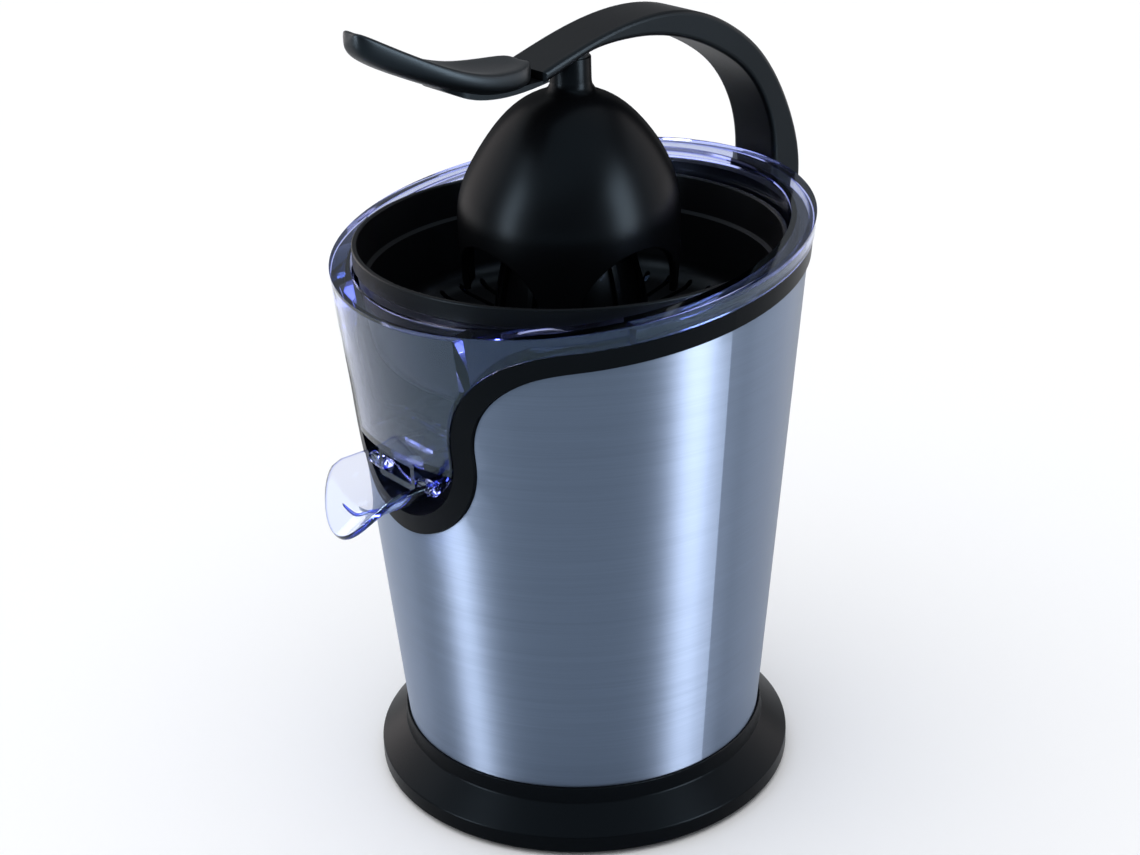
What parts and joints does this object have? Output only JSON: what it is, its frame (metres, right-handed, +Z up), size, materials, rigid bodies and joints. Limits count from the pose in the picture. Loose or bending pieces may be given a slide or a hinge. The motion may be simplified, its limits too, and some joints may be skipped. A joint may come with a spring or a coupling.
{
  "type": "citrus juicer",
  "caption": "Electric citrus press: brushed conical body, sloping clear bowl with spout, strainer, reamer and a hinged lever arm whose dome presses half a fruit down.",
  "frame": {"origin": "on the drive axis, at the underside of the rubber foot ring", "axes": "+Z up along the drive axis, -Y towards the spout and the lever's paddle, +X to the right seen from the spout"},
  "size_m": [0.188, 0.2364, 0.3256],
  "materials": {
    "rubber_black": "matt black rubber",
    "base_black": "semi-gloss black moulded plastic",
    "satin_black": "satin black moulded plastic",
    "clear_plastic": "clear polished plastic with a faint violet tint",
    "brushed_steel": "steel sheet brushed round the body",
    "bright_steel": "plain bright steel",
    "bronze": "sintered bronze",
    "white_acetal": "natural white acetal",
    "grey_plastic": "dark grey glass-filled plastic",
    "laminated_iron": "stacked motor laminations, dark",
    "copper": "varnished copper wire",
    "cast_alloy": "plain die-cast aluminium"
  },
  "bodies": {
    "housing": {"foot_ring": "rubber_black", "base_ring": "base_black", "cord_gland": "rubber_black", "bottom_cover": "satin_black", "cover_screws": "bright_steel", "body_screws": "bright_steel", "steel_sleeve": "brushed_steel", "inner_housing": "satin_black", "juice_bowl": "clear_plastic", "strainer": "satin_black", "hinge_pin": "bright_steel", "tower_bush": "bronze", "shaft_seal": "rubber_black", "cover_bush": "bronze", "return_spring": "bright_steel", "idler_pin": "bright_steel", "gearbox_case": "grey_plastic", "gearbox_cover": "grey_plastic", "gearbox_screws": "bright_steel", "stator_core": "laminated_iron", "stator_windings": "copper", "motor_bracket": "cast_alloy", "motor_bushes": "bronze", "motor_bolts": "bright_steel", "press_switch": "grey_plastic"},
    "lever": {"lever_arm": "satin_black", "handle_paddle": "satin_black", "paddle_screws": "bright_steel", "press_dome": "satin_black", "dome_screw": "bright_steel"},
    "spout": {"spout": "clear_plastic"},
    "press_carrier": {"thrust_washer": "white_acetal"},
    "drive": {"drive_shaft": "bright_steel", "output_wheel": "white_acetal", "reamer": "satin_black"},
    "rotor": {"motor_shaft": "bright_steel", "motor_pinion": "bright_steel", "rotor_core": "laminated_iron", "cooling_fan": "grey_plastic"},
    "idler": {"idler_gear": "white_acetal"},
    "plunger": {"switch_plunger": "white_acetal"}
  },
  "joints": [
    {"name": "lever_lift", "type": "hinge", "parent": "housing", "child": "lever", "pos_m": [0, 0.105, 0.2238], "axis": [-1, 0, 0], "range_deg": [0, 80]},
    {"name": "spout_flip", "type": "hinge", "parent": "housing", "child": "spout", "pos_m": [0, -0.084, 0.1538], "axis": [-1, 0, 0], "range_deg": [0, 45]},
    {"name": "drive_press", "type": "slide", "parent": "housing", "child": "press_carrier", "axis": [0, 0, -1], "range_m": [0, 0.003], "stiffness_N_per_m": 2500, "springref_m": -0.004, "deforming": ["return_spring"]},
    {"name": "drive_spin", "type": "hinge", "parent": "press_carrier", "child": "drive", "pos_m": [0, 0, 0.1], "axis": [0, 0, 1], "continuous": true},
    {"name": "rotor_spin", "type": "hinge", "parent": "housing", "child": "rotor", "pos_m": [0, 0, 0.05], "axis": [0, 0, 1], "continuous": true},
    {"name": "idler_spin", "type": "hinge", "parent": "housing", "child": "idler", "pos_m": [0.03, 0, 0.09], "axis": [0, 0, 1], "continuous": true},
    {"name": "plunger_slide", "type": "slide", "parent": "housing", "child": "plunger", "axis": [0, 0, -1], "range_m": [0, 0.003]}
  ],
  "couplings": [
    {"joint": "idler_spin", "follows": "rotor_spin", "ratio": -0.33333},
    {"joint": "drive_spin", "follows": "rotor_spin", "ratio": 0.11111},
    {"joint": "plunger_slide", "follows": "drive_press", "ratio": 1}
  ]
}
